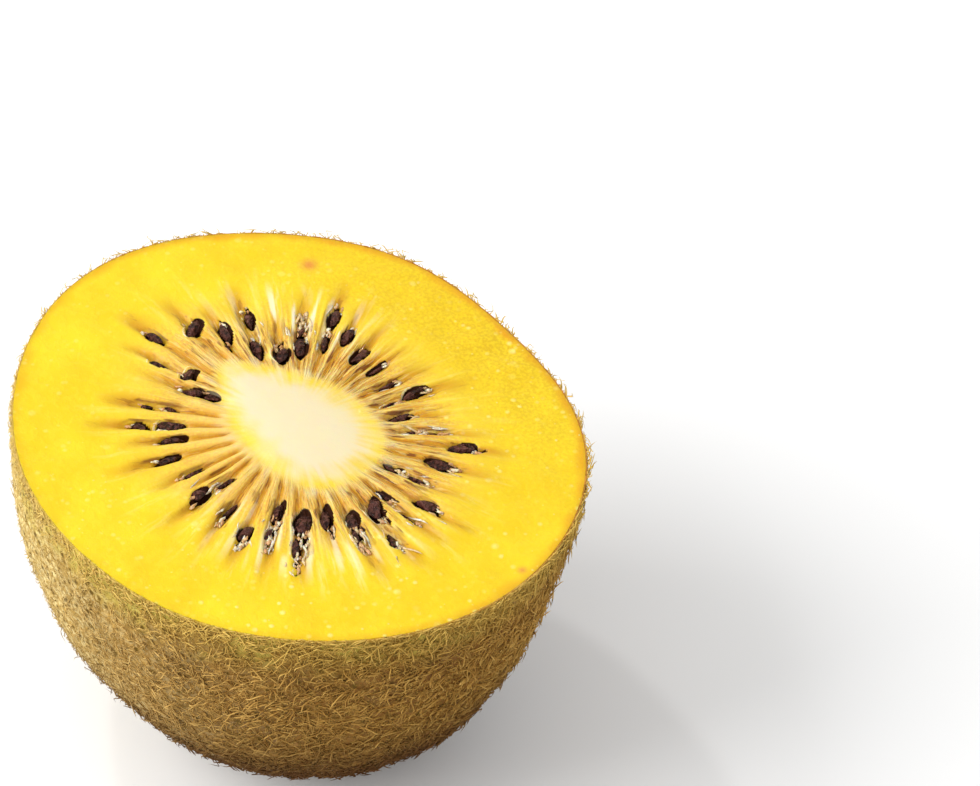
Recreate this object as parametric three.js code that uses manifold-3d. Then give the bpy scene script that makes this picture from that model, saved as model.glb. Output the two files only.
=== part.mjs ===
// Half of a golden kiwi fruit, cut straight across its middle and standing on its rounded blossom end
// with the cut face up. Millimetres, +Z up, the origin on the table under the middle of the fruit and
// +X along the long way of its oval section. Three bodies make it: the skin, the flesh with the seeds
// grown into it, and the pale core.
import * as THREE from 'three';
import { mergeVertices } from 'three/addons/utils/BufferGeometryUtils.js';
import Module from 'manifold-3d';

// ---- the outside form ----
const cutHeight = 35;          // table to the cut rim
const cutMiddle = { x: 0.3, y: 0.5 };   // middle of the cut, from the middle of the whole fruit's outline
const poleDepth = 35.6;        // cut rim to where the end would close, had it no flat spot
const sectionRadius = 27;      // mean radius of the cut section, skin included
const sectionWaves = [         // how the section differs from a circle: share of the radius, peak in degrees
  { order: 2, share: 0.073, peak: 2.5 },
  { order: 3, share: 0.011, peak: 39 },
  { order: 4, share: 0.005, peak: 18 },
  { order: 5, share: 0.006, peak: -31 },
  { order: 6, share: 0.005, peak: -3 },
];
const sideFullness = 2.3;      // power of the superellipse across the fruit
const endFullness = 2;         // power of the superellipse along it
const endLean = { x: 1.8, y: -0.3 };    // how far the blossom end sits off the middle of the cut
const middleBow = { x: -0.6, y: -1.2 }; // how far the fruit bulges to one side halfway down
const scarRadius = 2.8;        // dimple left by the flower
const scarDepth = 0.75;

// ---- skin, flesh and core ----
const skinThickness = 0.6;
const fitGap = 0.15;           // clearance between neighbouring bodies
const coreReach = { right: 8.6, back: 6.6, left: 10.8, front: 5.1 };
const coreFullness = { right: 2.8, left: 1.4 };  // powers of the core's outline on either side
const coreDepth = 26;
const coreTipShare = 0.45;     // width at the core's lower end, as a share of the top
const coreDome = 0.45;         // how far the core swells above the rim
const fleshSwell = 0.25;       // how far the flesh swells above the rim beside the core

// ---- locules and seeds ----
const loculeCount = 36;
const loculeDepth = 0.5;
const loculeReach = 0.56;      // outer end of the locules, as a share of the way from core to skin
const seedHeight = (width) => 0.5 + 0.4 * width;
const seedSink = 0.2;          // seed centre below the rim's level
const seedTaper = 0.28;        // a seed narrows towards the core by this share
// Seeds in each locule, anticlockwise from +X: distance from the axis, length, width, turn off the
// locule's even place and swing off straight out, in millimetres and degrees.
const seedRows = [
  [[12.2, 2.2, 0.4, 4.5, 5], [15.6, 2.3, 0.35, 2.7, 5]],
  [[15.8, 2.5, 1.2, 1.4, 19]],
  [[10.5, 1.9, 0.55, 0.8, -9], [13.2, 1.9, 0.65, 0, 0]],
  [[14.3, 2.8, 1.05, 1.4, -5]],
  [[16.0, 2.7, 1.3, 1.6, 19]],
  [[10.9, 1.2, 0.5, -2.3, 20], [12.9, 1.3, 0.35, -2, 8]],
  [[10.2, 2.5, 0.85, -1.2, 10]],
  [[12.4, 2.5, 1.0, 3.5, 9], [9.6, 1.8, 0.4, 0.6, 8]],
  [[10.6, 2.6, 0.5, 3.4, 4]],
  [[11.2, 2.4, 0.45, 6.3, -3]],
  [],
  [[11.7, 2.8, 1.25, -2, -7]],
  [[13.5, 2.3, 1.15, -1.3, 0]],
  [[15.5, 2.4, 1.2, -3.8, -5], [11.9, 2.4, 0.6, -3.5, 8]],
  [[10.9, 2.8, 1.35, -2.6, 2], [13.2, 1.5, 0.65, -2.4, -16]],
  [[10.0, 2.1, 1.7, -2.3, -7]],
  [[11.3, 2.7, 1.2, -0.6, -5], [15.5, 2.4, 0.9, -3.3, -4]],
  [[14.6, 2.9, 1.1, -2.7, -13], [12.7, 0.9, 0.5, 0.6, 0]],
  [[16.7, 2.6, 1.4, -4.1, -60]],
  [[18.2, 2.0, 0.95, -2.3, 10]],
  [[12.3, 2.0, 1.2, -5.8, 70], [15.4, 2.0, 0.7, -3, 10]],
  [[10.7, 2.5, 1.05, -6.6, 10], [8.7, 1.6, 0.95, -8.8, 8]],
  [[12.0, 1.6, 0.35, -2.2, 0], [14.2, 1.2, 0.35, -1.7, 6]],
  [[11.5, 2.8, 1.2, -1.3, -2], [14.4, 1.8, 1.0, -0.8, -16]],
  [[11.3, 2.6, 0.8, -1.8, 8]],
  [[12.4, 2.6, 0.75, -0.3, 8]],
  [[11.0, 2.3, 0.45, 2.6, 7]],
  [],
  [[12.1, 2.1, 1.3, -4.7, 0], [9.4, 2.1, 0.5, -0.9, -10]],
  [[12.2, 2.3, 0.4, 1.7, -8]],
  [[14.2, 2.1, 1.25, 2.7, -15]],
  [[10.9, 2.7, 0.95, 3.3, -13], [13.8, 1.7, 0.5, 1.1, -15]],
  [[12.2, 3.0, 1.7, 4.9, -11], [15.4, 2.7, 0.75, 1.5, -5]],
  [[12.0, 3.2, 1.15, 5, -14]],
  [[13.0, 2.2, 1.35, 5.1, -18], [15.2, 2.3, 0.65, 2.7, -12]],
  [[12.9, 3.0, 1.3, 6.3, -31], [17.1, 2.1, 0.75, 2.9, -13]],
];

// ---- fineness of the facets ----
const skinColumns = 72;
const columnsPerLocule = 3;
const coreColumns = 40;
const sideRows = 10;
const scarRows = [1, 0.62, 0.3];                              // shares of the scar's radius
const faceRows = [1, 0.78, 0.62, 0.52, 0.4, 0.26, 0.13, 0.05]; // shares of the way from core to skin
const plugRows = [0.1, 0.4, 0.7, 0.9, 1];                      // shares of the core's depth
const domeRows = [0.8, 0.45];                                  // shares of the core's width

const wasm = await Module();
wasm.setup();

const radians = (degrees) => THREE.MathUtils.degToRad(degrees);

function sectionRadiusAt(angle, inset) {
  let share = 1;
  for (const wave of sectionWaves) {
    share += wave.share * Math.cos(wave.order * (angle - radians(wave.peak)));
  }
  return sectionRadius * share - inset;
}

function coreRadiusAt(angle) {
  const along = Math.cos(angle) > 0 ? coreReach.right : coreReach.left;
  const across = Math.sin(angle) > 0 ? coreReach.back : coreReach.front;
  const power = Math.cos(angle) > 0 ? coreFullness.right : coreFullness.left;
  const sum = Math.abs(Math.cos(angle) / along) ** power + Math.abs(Math.sin(angle) / across) ** power;
  return sum ** (-1 / power);
}

// A point of the fruit: going down, its middle line bows out and ends off the middle of the cut.
function fruitPoint(angle, radius, height) {
  const down = Math.max(0, 1 - height / cutHeight);
  const lean = down ** 2;
  const bow = 4 * down * (1 - down);
  return new THREE.Vector3(
    cutMiddle.x + radius * Math.cos(angle) + endLean.x * lean + middleBow.x * bow,
    cutMiddle.y + radius * Math.sin(angle) + endLean.y * lean + middleBow.y * bow,
    height,
  );
}

function evenAngles(count) {
  return Array.from({ length: count }, (unused, index) => (2 * Math.PI * index) / count);
}

// ---- rows of points, each a function of the angle ----

// Rows up the outside of a body that lies the given inset under the skin, from the scar to the rim.
function outsideRows(inset) {
  const scar = scarRows.map((share) => (angle) => {
    const rise = scarDepth * (0.5 + 0.5 * Math.cos(Math.PI * share));
    return fruitPoint(angle, share * scarRadius, inset + rise);
  }).reverse();
  const flatShare = cutHeight / poleDepth;
  const lowest = Math.asin(flatShare ** (endFullness / 2));
  const sides = Array.from({ length: sideRows + 1 }, (unused, index) => (angle) => {
    const turn = lowest * (1 - index / sideRows);
    const across = Math.cos(turn) ** (2 / sideFullness);
    const down = Math.sin(turn) ** (2 / endFullness);
    const height = cutHeight - (poleDepth - inset) * down;
    return fruitPoint(angle, across * sectionRadiusAt(angle, inset), height);
  });
  return [...scar, ...sides];
}

// The closed surface through the rows, from a pole below the first row to a pole past the last.
function bodyThrough(firstPole, rows, lastPole, angles) {
  const points = [firstPole, ...rows.flatMap((row) => angles.map(row)), lastPole];
  const count = angles.length;
  const corner = (row, column) => 1 + row * count + (column % count);
  const triangles = [];
  for (let column = 0; column < count; column += 1) {
    triangles.push(0, corner(0, column + 1), corner(0, column));
    for (let row = 0; row + 1 < rows.length; row += 1) {
      const [a, b] = [corner(row, column), corner(row, column + 1)];
      const [c, d] = [corner(row + 1, column + 1), corner(row + 1, column)];
      triangles.push(a, b, c, a, c, d);
    }
    triangles.push(corner(rows.length - 1, column), corner(rows.length - 1, column + 1), points.length - 1);
  }
  const geometry = new THREE.BufferGeometry().setFromPoints(points);
  geometry.setIndex(triangles);
  geometry.computeVertexNormals();
  return geometry;
}

// ---- solids for joining ----

function solidFrom(geometry) {
  geometry.deleteAttribute('normal');
  geometry.deleteAttribute('uv');
  const merged = mergeVertices(geometry);
  const vertProperties = new Float32Array(merged.attributes.position.array);
  const triVerts = new Uint32Array(merged.index.array);
  return new wasm.Manifold(new wasm.Mesh({ numProp: 3, vertProperties, triVerts }));
}

function geometryFrom(solid) {
  const mesh = solid.getMesh();
  const geometry = new THREE.BufferGeometry();
  geometry.setAttribute('position', new THREE.BufferAttribute(mesh.vertProperties, 3));
  geometry.setIndex(new THREE.BufferAttribute(mesh.triVerts, 1));
  geometry.computeVertexNormals();
  return geometry;
}

// ---- skin ----

function makeSkin() {
  const outside = outsideRows(0);
  const inside = outsideRows(skinThickness).reverse();
  const pole = (inset) => fruitPoint(0, 0, inset + scarDepth);
  return bodyThrough(pole(0), [...outside, ...inside], pole(skinThickness), evenAngles(skinColumns));
}

// ---- core ----

// Rows of the core's outline from its top edge down, widened by the given clearance.
function plugRow(share, clearance) {
  return (angle) => {
    const width = THREE.MathUtils.lerp(1, coreTipShare, share ** 1.5) * Math.sqrt(1 - 0.6 * share ** 6);
    return fruitPoint(angle, width * coreRadiusAt(angle) + clearance, cutHeight - coreDepth * share);
  };
}

function makeCore() {
  const sides = [0, ...plugRows].map((share) => plugRow(share, 0)).reverse();
  const dome = domeRows.map((share) => (angle) => {
    const height = cutHeight + coreDome * (1 - share ** 2);
    return fruitPoint(angle, share * coreRadiusAt(angle), height);
  });
  const tip = fruitPoint(0, 0, cutHeight - coreDepth - 0.5);
  const top = fruitPoint(0, 0, cutHeight + coreDome);
  return bodyThrough(tip, [...sides, ...dome], top, evenAngles(coreColumns));
}

// ---- flesh and seeds ----

// The middle of a locule: its even place, turned by as much as its seeds are on average.
function loculeAngle(index) {
  const turns = seedRows[index % loculeCount].map((seed) => seed[3]);
  const total = turns.reduce((sum, turn) => sum + turn, 0);
  return radians((360 / loculeCount) * index + total / Math.max(1, turns.length));
}

// Columns of the flesh: one along the middle of each locule, the others on the walls between them.
function fleshAngles() {
  return Array.from({ length: loculeCount * columnsPerLocule }, (unused, column) => {
    const index = Math.floor(column / columnsPerLocule);
    const share = (column % columnsPerLocule) / columnsPerLocule;
    return THREE.MathUtils.lerp(loculeAngle(index), loculeAngle(index + 1), share);
  });
}

// Height of the cut face at a share of the way from core to skin, on the walls between the locules.
function faceHeight(share) {
  return cutHeight + fleshSwell * (1 - share) ** 2;
}

function faceRow(share, isLocule) {
  return (angle, column) => {
    const inner = coreRadiusAt(angle) + fitGap;
    const outer = sectionRadiusAt(angle, skinThickness + fitGap);
    const radius = THREE.MathUtils.lerp(inner, outer, share);
    const sunk = isLocule(column) ? loculeDepth : 0;
    const ends = THREE.MathUtils.smoothstep(share, 0, 0.13)
      * (1 - THREE.MathUtils.smoothstep(share, 0.6 * loculeReach, loculeReach));
    return fruitPoint(angle, radius, faceHeight(share) - sunk * ends);
  };
}

function makeSeed(angle, distance, length, width, swing) {
  const nearest = coreRadiusAt(angle) + 2 * fitGap + length / 2;
  const radius = Math.max(distance, nearest);
  const geometry = new THREE.SphereGeometry(1, 8, 5);
  geometry.rotateZ(Math.PI / 2);
  const position = geometry.attributes.position;
  for (let index = 0; index < position.count; index += 1) {
    const taper = 1 + seedTaper * position.getX(index);
    position.setY(index, position.getY(index) * taper);
  }
  geometry.scale(length / 2, width / 2, seedHeight(width) / 2);
  geometry.rotateZ(angle + swing);
  const centre = fruitPoint(angle, radius, cutHeight - seedSink);
  geometry.translate(centre.x, centre.y, centre.z);
  return solidFrom(geometry);
}

function makeFlesh() {
  const isLocule = (column) => column % columnsPerLocule === 0;
  const inset = skinThickness + fitGap;
  const outside = outsideRows(inset).slice(0, -1);
  const face = faceRows.map((share) => faceRow(share, isLocule));
  const pocketEdge = faceRow(0, () => false);
  const pocket = plugRows.map((share) => plugRow(share, fitGap));
  const rows = [...outside, ...face, pocketEdge, ...pocket];
  const bottom = fruitPoint(0, 0, inset + scarDepth);
  const pocketFloor = fruitPoint(0, 0, cutHeight - coreDepth - 0.5 - 2 * fitGap);
  let flesh = solidFrom(bodyThrough(bottom, rows, pocketFloor, fleshAngles()));
  seedRows.forEach((seeds, index) => {
    for (const [distance, length, width, turn, swing] of seeds) {
      const angle = radians((360 / loculeCount) * index + turn);
      flesh = flesh.add(makeSeed(angle, distance, length, width, radians(swing)));
    }
  });
  return geometryFrom(flesh);
}

// ---- the half fruit ----

function piece(name, geometry, colour, roughness) {
  const material = new THREE.MeshStandardMaterial({ color: colour, roughness, metalness: 0 });
  const mesh = new THREE.Mesh(geometry, material);
  mesh.name = name;
  return mesh;
}

const halfFruit = new THREE.Group();
halfFruit.name = 'golden_kiwi_half';
halfFruit.add(piece('skin', makeSkin(), 0x9a8450, 0.85));
halfFruit.add(piece('flesh', makeFlesh(), 0xf2cf1c, 0.35));
halfFruit.add(piece('core', makeCore(), 0xf6ecc4, 0.4));

export default halfFruit;
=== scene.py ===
import math

import bpy
import numpy as np
from mathutils import Matrix, Vector


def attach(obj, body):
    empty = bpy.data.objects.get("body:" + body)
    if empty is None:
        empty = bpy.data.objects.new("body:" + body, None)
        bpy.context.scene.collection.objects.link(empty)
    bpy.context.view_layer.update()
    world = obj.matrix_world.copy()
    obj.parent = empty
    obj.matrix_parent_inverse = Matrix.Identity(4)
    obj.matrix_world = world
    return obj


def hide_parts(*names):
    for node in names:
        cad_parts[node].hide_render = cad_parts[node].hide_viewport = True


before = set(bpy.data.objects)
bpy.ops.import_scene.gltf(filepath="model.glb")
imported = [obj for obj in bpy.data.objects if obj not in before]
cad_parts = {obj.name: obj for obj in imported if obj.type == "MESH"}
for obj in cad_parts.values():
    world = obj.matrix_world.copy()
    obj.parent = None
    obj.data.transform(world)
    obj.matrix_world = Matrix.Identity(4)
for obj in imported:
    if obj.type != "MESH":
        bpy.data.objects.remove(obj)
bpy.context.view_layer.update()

MM = 0.001
TURN = 2 * math.pi

# ---- the outside form, in millimetres and degrees ----
CUT_HEIGHT = 35.0
CUT_MIDDLE = (0.3, 0.5)
POLE_DEPTH = 35.6
SECTION_RADIUS = 27.0
SECTION_WAVES = [(2, 0.073, 2.5), (3, 0.011, 39), (4, 0.005, 18), (5, 0.006, -31), (6, 0.005, -3)]
SIDE_FULLNESS = 2.3
END_FULLNESS = 2.0
END_LEAN = (1.8, -0.3)
MIDDLE_BOW = (-0.6, -1.2)
SCAR_RADIUS = 2.8
SCAR_DEPTH = 0.75
RIPPLE_WAVES, FIBRE_WAVES = 9, 10
LOWEST_TURN = math.asin((CUT_HEIGHT / POLE_DEPTH) ** (END_FULLNESS / 2))

# ---- skin, flesh and core ----
PEEL_THICKNESS = 0.12
FLESH_INSET = PEEL_THICKNESS + 0.005
FIT_GAP = 0.15
LINING_DEPTH = 0.4
CORE_RIGHT, CORE_BACK, CORE_LEFT, CORE_FRONT = 8.6, 6.6, 10.8, 5.1
CORE_RIGHT_FULLNESS, CORE_LEFT_FULLNESS = 2.8, 1.4
CORE_DOME = 0.45
FLESH_SWELL = 0.25
# Fine relief of the cut face.
SEPTUM_RISE, LIP_RISE, FIBRE_RISE, WAVE_RISE = 0.1, 0.08, 0.035, 0.06
GROOVE_DEPTH, SMOOTH_GROOVE_DEPTH, OPEN_DEPTH, GAP_DEPTH = 0.08, 0.18, 0.34, 0.26
# Roughness of the peel: how high and how far apart its broad and its fine lumps are, how far they
# all sink below the smooth form, how ragged the cut rim is and how far its sheltered side drops.
PEEL_LUMPS = [(0.1, 9.0, 21), (0.045, 2.2, 22)]
PEEL_SINK = 0.12
RIM_RAGGED = (0.05, 1.1, 23)
RIM_DROP = 0.06

# ---- locules and seeds ----
LOCULES = 36
# Width of the painted shade along the sides of the open locules, in millimetres.
WALL_SHADE_WIDTH = 0.09
# Bands of the cut face: where each starts to rise, is full, starts to fall and is gone, as shares
# of the way from core to skin.
RING_END = 0.66
RING_BAND = ((-0.02, 0.06), (0.36, RING_END))
# The band of the painted highlight streaks.
HIGHLIGHT_BAND = ((0.16, 0.28), (0.46, 0.68))
# The band of the pale rays, painted stronger at the front and back as painted sheen.
STREAK_BAND = ((0.02, 0.2), (0.5, 0.8))
WAVE_BAND = ((-0.4, 0.1), (0.9, 1))
SEED_SINK = 0.2
SEED_TAPER = 0.28
SEED_FLATS = 9
SEED_TILT, SEED_ROLL = math.radians(9), math.radians(24)
# Seeds in each locule, anticlockwise from +X: distance from the axis, length, width, turn off the
# locule's even place and swing off straight out, in millimetres and degrees.
SEED_ROWS = [
    [(12.2, 2.2, 0.4, 4.5, 5), (15.6, 2.3, 0.35, 2.7, 5)],
    [(15.8, 2.5, 1.2, 1.4, 19)],
    [(10.5, 1.9, 0.55, 0.8, -9), (13.2, 1.9, 0.65, 0, 0)],
    [(14.3, 2.8, 1.05, 1.4, -5)],
    [(16, 2.7, 1.3, 1.6, 19)],
    [(10.9, 1.2, 0.5, -2.3, 20), (12.9, 1.3, 0.35, -2, 8)],
    [(10.2, 2.5, 0.85, -1.2, 10)],
    [(12.4, 2.5, 1, 3.5, 9), (9.6, 1.8, 0.4, 0.6, 8)],
    [(10.6, 2.6, 0.5, 3.4, 4)],
    [(11.2, 2.4, 0.45, 6.3, -3)],
    [],
    [(11.7, 2.8, 1.25, -2, -7)],
    [(13.5, 2.3, 1.15, -1.3, 0)],
    [(15.5, 2.4, 1.2, -3.8, -5), (11.9, 2.4, 0.6, -3.5, 8)],
    [(10.9, 2.8, 1.35, -2.6, 2), (13.2, 1.5, 0.65, -2.4, -16)],
    [(10, 2.1, 1.7, -2.3, -7)],
    [(11.3, 2.7, 1.2, -0.6, -5), (15.5, 2.4, 0.9, -3.3, -4)],
    [(14.6, 2.9, 1.1, -2.7, -13), (12.7, 0.9, 0.5, 0.6, 0)],
    [(16.7, 2.6, 1.4, -4.1, -60)],
    [(18.2, 2, 0.95, -2.3, 10)],
    [(12.3, 2, 1.2, -5.8, 70), (15.4, 2, 0.7, -3, 10)],
    [(10.7, 2.5, 1.05, -6.6, 10), (8.7, 1.6, 0.95, -8.8, 8)],
    [(12, 1.6, 0.35, -2.2, 0), (14.2, 1.2, 0.35, -1.7, 6)],
    [(11.5, 2.8, 1.2, -1.3, -2), (14.4, 1.8, 1, -0.8, -16)],
    [(11.3, 2.6, 0.8, -1.8, 8)],
    [(12.4, 2.6, 0.75, -0.3, 8)],
    [(11, 2.3, 0.45, 2.6, 7)],
    [],
    [(12.1, 2.1, 1.3, -4.7, 0), (9.4, 2.1, 0.5, -0.9, -10)],
    [(12.2, 2.3, 0.4, 1.7, -8)],
    [(14.2, 2.1, 1.25, 2.7, -15)],
    [(10.9, 2.7, 0.95, 3.3, -13), (13.8, 1.7, 0.5, 1.1, -15)],
    [(12.2, 3, 1.7, 4.9, -11), (15.4, 2.7, 0.75, 1.5, -5)],
    [(12, 3.2, 1.15, 5, -14)],
    [(13, 2.2, 1.35, 5.1, -18), (15.2, 2.3, 0.65, 2.7, -12)],
    [(12.9, 3, 1.3, 6.3, -31), (17.1, 2.1, 0.75, 2.9, -13)],
]

# Small brownish bruises in the cut face: east, north and size.
BLEMISHES = [(-16.3, 16.0, 0.8), (27.7, 5.1, 0.4)]

# Zones round the fruit: the middle and the spread of each, in degrees.
WET_FRONT, WET_BACK, WET_RIGHT = (326, 36), (140, 13), (35, 42)
# Pale rays are painted stronger here, at the front and back, as painted sheen.
SHEEN_FRONT, SHEEN_BACK = (322, 45), (138, 26)
# Painted highlight streaks, at the back and front.
HIGHLIGHT_FRONT, HIGHLIGHT_BACK = (322, 34), (138, 20)
# Pale flecks of the flesh are painted thicker here, as painted glints.
GLINT_FRONT, GLINT_RIGHT = (330, 55), (55, 42)
SMOOTH_RING = (245, 68)
OCHRE_FLESH = (88, 52)
SHELTERED_RIM = (275, 80)
# The side facing the window light: skin and hairs are painted paler there as painted light, and the hairs
# are shorter, thinner, sparser and stand up more.
LIT_SKIN_SIDE = (228, 60)

# Jelly: how many places each seed has for it and how many of them are for lumps, the others being
# for threads.
JELLY_PLACES = 24
LUMP_PLACES = 16

# Where each trait's own row of repeatable draws starts.
DRAWS = {
    "locule tail": 80, "locule width": 120, "seed tilt": 300, "seed roll": 400, "gap side": 620,
    "gap length": 640, "wet gap length": 660, "lip facing": 700, "lip shown": 760,
    "jelly aside": 2100, "jelly along": 2200, "jelly beyond": 2250, "jelly length": 2300,
    "jelly width": 2400, "jelly bends": 2500, "jelly bend start": 2600, "jelly tilt": 2650,
    "jelly turn": 2800, "jelly height": 2900, "jelly tone": 3000,
}

# ---- hairs ----
HAIR_SECTORS = 6
# Kinds of hair: segments, how many, thinning on the pale side, middle length, spread of lengths and
# the least and greatest radius at the root.
HAIR_KINDS = [
    (4, 16000, 0.85, 1.55, 0.3, 0.06, 0.105),
    (2, 24000, 0.3, 0.75, 0.25, 0.045, 0.08),
]
LONGEST_HAIR = 2.3
HAIR_TAPER = 0.3
ROOT_DEPTH = 0.04
LIFT_MIDDLE, LIFT_SPREAD, PALE_LIFT, LIFT_LIMITS = 16, 8, 24, (3, 65)
CURL_SPREAD, CURL_LIMIT = 1.2, 1.9
RIM_SQUASH = 0.7
FLOOR_GAP = 0.03
NUDGE = 1e-3

# ---- how finely the pieces are divided ----
FLESH_COLUMNS = 640
CORE_ROWS, RING_ROWS, OUTER_ROWS, UNDER_ROWS = 16, 84, 30, 6
PEEL_COLUMNS = 320
PEEL_SIDE_ROWS, PEEL_SCAR_ROWS, PEEL_INNER_ROWS = 90, 12, 6
ROOT_ROWS, ROOT_COLUMNS = 240, 360
GRID_CORNER, SEED_CORNER = math.radians(70), math.radians(28)

# ---- materials: heights of colour changes in metres, and the sizes of flecks ----
RIM_ZONE = (0.029, 0.0345)
# Painted shade: the skin and hairs darken from the first height down to the second, near the floor.
PEEL_SHADE_ZONE = (0.016, 0.003)
HAIR_SHADE_ZONE = (0.024, 0.009)
FLECK_SIZES = (0.5, 1.4)
FLECK_MIDDLE = 0.25

# ---- the view ----
CAMERA_AZIMUTH = 50.7
CAMERA_ELEVATION = 45.0
CAMERA_DISTANCE = 450.0
CAMERA_LENS = 175.2
SENSOR_WIDTH = 36
NEAREST_SEEN = 10.0
AIM_RIGHT = 18.5
AIM_UP = 3.4
FLOOR_SIZE = 3.0
SKY_STRENGTH = 0.74
# Lights: name, metres to the right, towards the camera and up, size and power.
LIGHTS = [("window", -0.8, 0.12, 0.6, 0.85, 10.5), ("back light", -0.3, -0.35, 0.75, 0.05, 0.7)]
LIGHT_AIM = (0, 0, 0.02)


# ---- the fruit's form ----

def draw(index, trait):
    """A repeatable draw from 0 to 1 of a trait, for each index."""
    wave = np.sin((np.asarray(index) + DRAWS[trait]) * 78.233 + 12.9898) * 43758.5453
    return wave - np.floor(wave)


def rising(value, low, high):
    """0 below the low value and 1 above the high one, with a smooth rise between them."""
    share = np.clip((value - low) / (high - low), 0, 1)
    return share * share * (3 - 2 * share)


def band(value, rise, fall):
    """1 between a rise and a fall, each given by where it starts and ends."""
    return rising(value, *rise) * (1 - rising(value, *fall))


def bell(value, width):
    return np.exp(-((value / width) ** 2))


def unit(vectors):
    return vectors / np.linalg.norm(vectors, axis=-1, keepdims=True)


def ripples(points, wavelength, seed):
    """Uneven heights of about -1 to 1: sine waves of about one length in scattered directions."""
    chance = np.random.default_rng(seed)
    directions = unit(chance.normal(size=(RIPPLE_WAVES, points.shape[-1])))
    phases = chance.uniform(0, TURN, RIPPLE_WAVES)
    stretch = chance.uniform(0.75, 1.35, RIPPLE_WAVES)
    total = np.zeros(points.shape[:-1])
    for direction, phase, factor in zip(directions, phases, stretch):
        total += np.sin(points @ direction * (TURN * factor / wavelength) + phase)
    return total / math.sqrt(RIPPLE_WAVES)


def section_radius(angle, inset):
    share = np.ones_like(angle)
    for order, amount, peak in SECTION_WAVES:
        share = share + amount * np.cos(order * (angle - math.radians(peak)))
    return SECTION_RADIUS * share - inset


def core_radius(angle):
    along = np.where(np.cos(angle) > 0, CORE_RIGHT, CORE_LEFT)
    across = np.where(np.sin(angle) > 0, CORE_BACK, CORE_FRONT)
    power = np.where(np.cos(angle) > 0, CORE_RIGHT_FULLNESS, CORE_LEFT_FULLNESS)
    reach = np.abs(np.cos(angle) / along) ** power + np.abs(np.sin(angle) / across) ** power
    return reach ** (-1 / power)


def fruit_points(angle, radius, height):
    """Points of the fruit: going down, its middle line bows out and ends off the middle of the cut."""
    down = np.maximum(0, 1 - height / CUT_HEIGHT)
    lean = down ** 2
    bow = 4 * down * (1 - down)
    east = CUT_MIDDLE[0] + radius * np.cos(angle) + END_LEAN[0] * lean + MIDDLE_BOW[0] * bow
    north = CUT_MIDDLE[1] + radius * np.sin(angle) + END_LEAN[1] * lean + MIDDLE_BOW[1] * bow
    return np.stack([east, north, height], -1)


def side_points(angle, down, inset):
    """Points of the rounded side: down is 0 at the rim and 1 at the edge of the flat spot."""
    turn = LOWEST_TURN * down
    across = np.cos(turn) ** (2 / SIDE_FULLNESS)
    height = CUT_HEIGHT - (POLE_DEPTH - inset) * np.sin(turn) ** (2 / END_FULLNESS)
    return fruit_points(angle, across * section_radius(angle, inset), height)


def lining_inset(down, at_rim):
    """How deep the parts under the peel lie: shallow at the rim, deeper where the peel is lumpy."""
    return at_rim + LINING_DEPTH * rising(down, 0.0, 0.06)


def pole_point(at_rim):
    """The middle of the underside of a part under the peel."""
    return fruit_points(np.zeros(1), np.zeros(1), lining_inset(np.ones(1), at_rim) + SCAR_DEPTH)


def scar_points(angle, share, inset):
    """Points of the underside, from the edge of the flat spot (share 1) to the middle of the scar."""
    edge = math.cos(LOWEST_TURN) ** (2 / SIDE_FULLNESS) * section_radius(angle, inset)
    radius = share * edge
    dip = 0.5 + 0.5 * np.cos(np.pi * np.clip(radius / SCAR_RADIUS, 0, 1))
    return fruit_points(angle, radius, inset + SCAR_DEPTH * dip)


def locule_angle(index):
    """The middle of a locule: its even place, turned by as much as its seeds are on average."""
    turns = np.array([sum(seed[3] for seed in row) / max(1, len(row)) for row in SEED_ROWS])
    return np.radians(360 / LOCULES * index + turns[np.mod(index, LOCULES)])


def ray_number(angle):
    """Which locule an angle falls in: whole numbers along the middles of the locules."""
    index = np.arange(-2, LOCULES + 3)
    return np.interp(angle, locule_angle(index), index)


def towards(angle, zone):
    """1 in the middle of a zone round the fruit, falling to 0 away from it."""
    middle, spread = zone
    apart = np.abs((np.degrees(angle) - middle + 180) % 360 - 180)
    return bell(apart, spread)


def towards_any(angle, *zones):
    return np.maximum(*(towards(angle, zone) for zone in zones))


# ---- making meshes ----

def deselect_all():
    bpy.ops.object.select_all(action="DESELECT")


def select_only(*pieces):
    deselect_all()
    for piece in pieces:
        piece.select_set(True)
    bpy.context.view_layer.objects.active = pieces[0]


def piece_points(piece):
    points = np.zeros(len(piece.data.vertices) * 3)
    piece.data.vertices.foreach_get("co", points)
    return points.reshape(-1, 3)


def set_points(piece, points):
    piece.data.vertices.foreach_set("co", np.asarray(points, np.float32).ravel())
    piece.data.update()


def copy_of(pattern):
    piece = pattern.copy()
    piece.data = pattern.data.copy()
    bpy.context.collection.objects.link(piece)
    return piece


def add_mask(piece, name, values):
    attribute = piece.data.attributes.new(name, "FLOAT", "POINT")
    attribute.data.foreach_set("value", np.asarray(values, np.float32))


def open_mesh():
    bpy.ops.object.mode_set(mode="EDIT")
    bpy.ops.mesh.select_all(action="SELECT")


def close_mesh():
    bpy.ops.mesh.normals_make_consistent(inside=False)
    bpy.ops.object.mode_set(mode="OBJECT")


def wrapped_grid(name, columns, rows, place):
    """A grid bent round and closed: place turns row numbers and angles into points and masks."""
    deselect_all()
    bpy.ops.mesh.primitive_grid_add(x_subdivisions=columns, y_subdivisions=rows, size=1)
    piece = bpy.context.object
    piece.name = name
    flat = piece_points(piece)
    angle = (flat[:, 0] + 0.5) * TURN
    row = np.rint((flat[:, 1] + 0.5) * rows).astype(int)
    points, masks = place(angle, row)
    set_points(piece, points * MM)
    for mask, values in masks.items():
        add_mask(piece, mask, values)
    open_mesh()
    bpy.ops.mesh.remove_doubles(threshold=1e-7)
    close_mesh()
    bpy.ops.object.shade_smooth_by_angle(angle=GRID_CORNER)
    return piece


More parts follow.
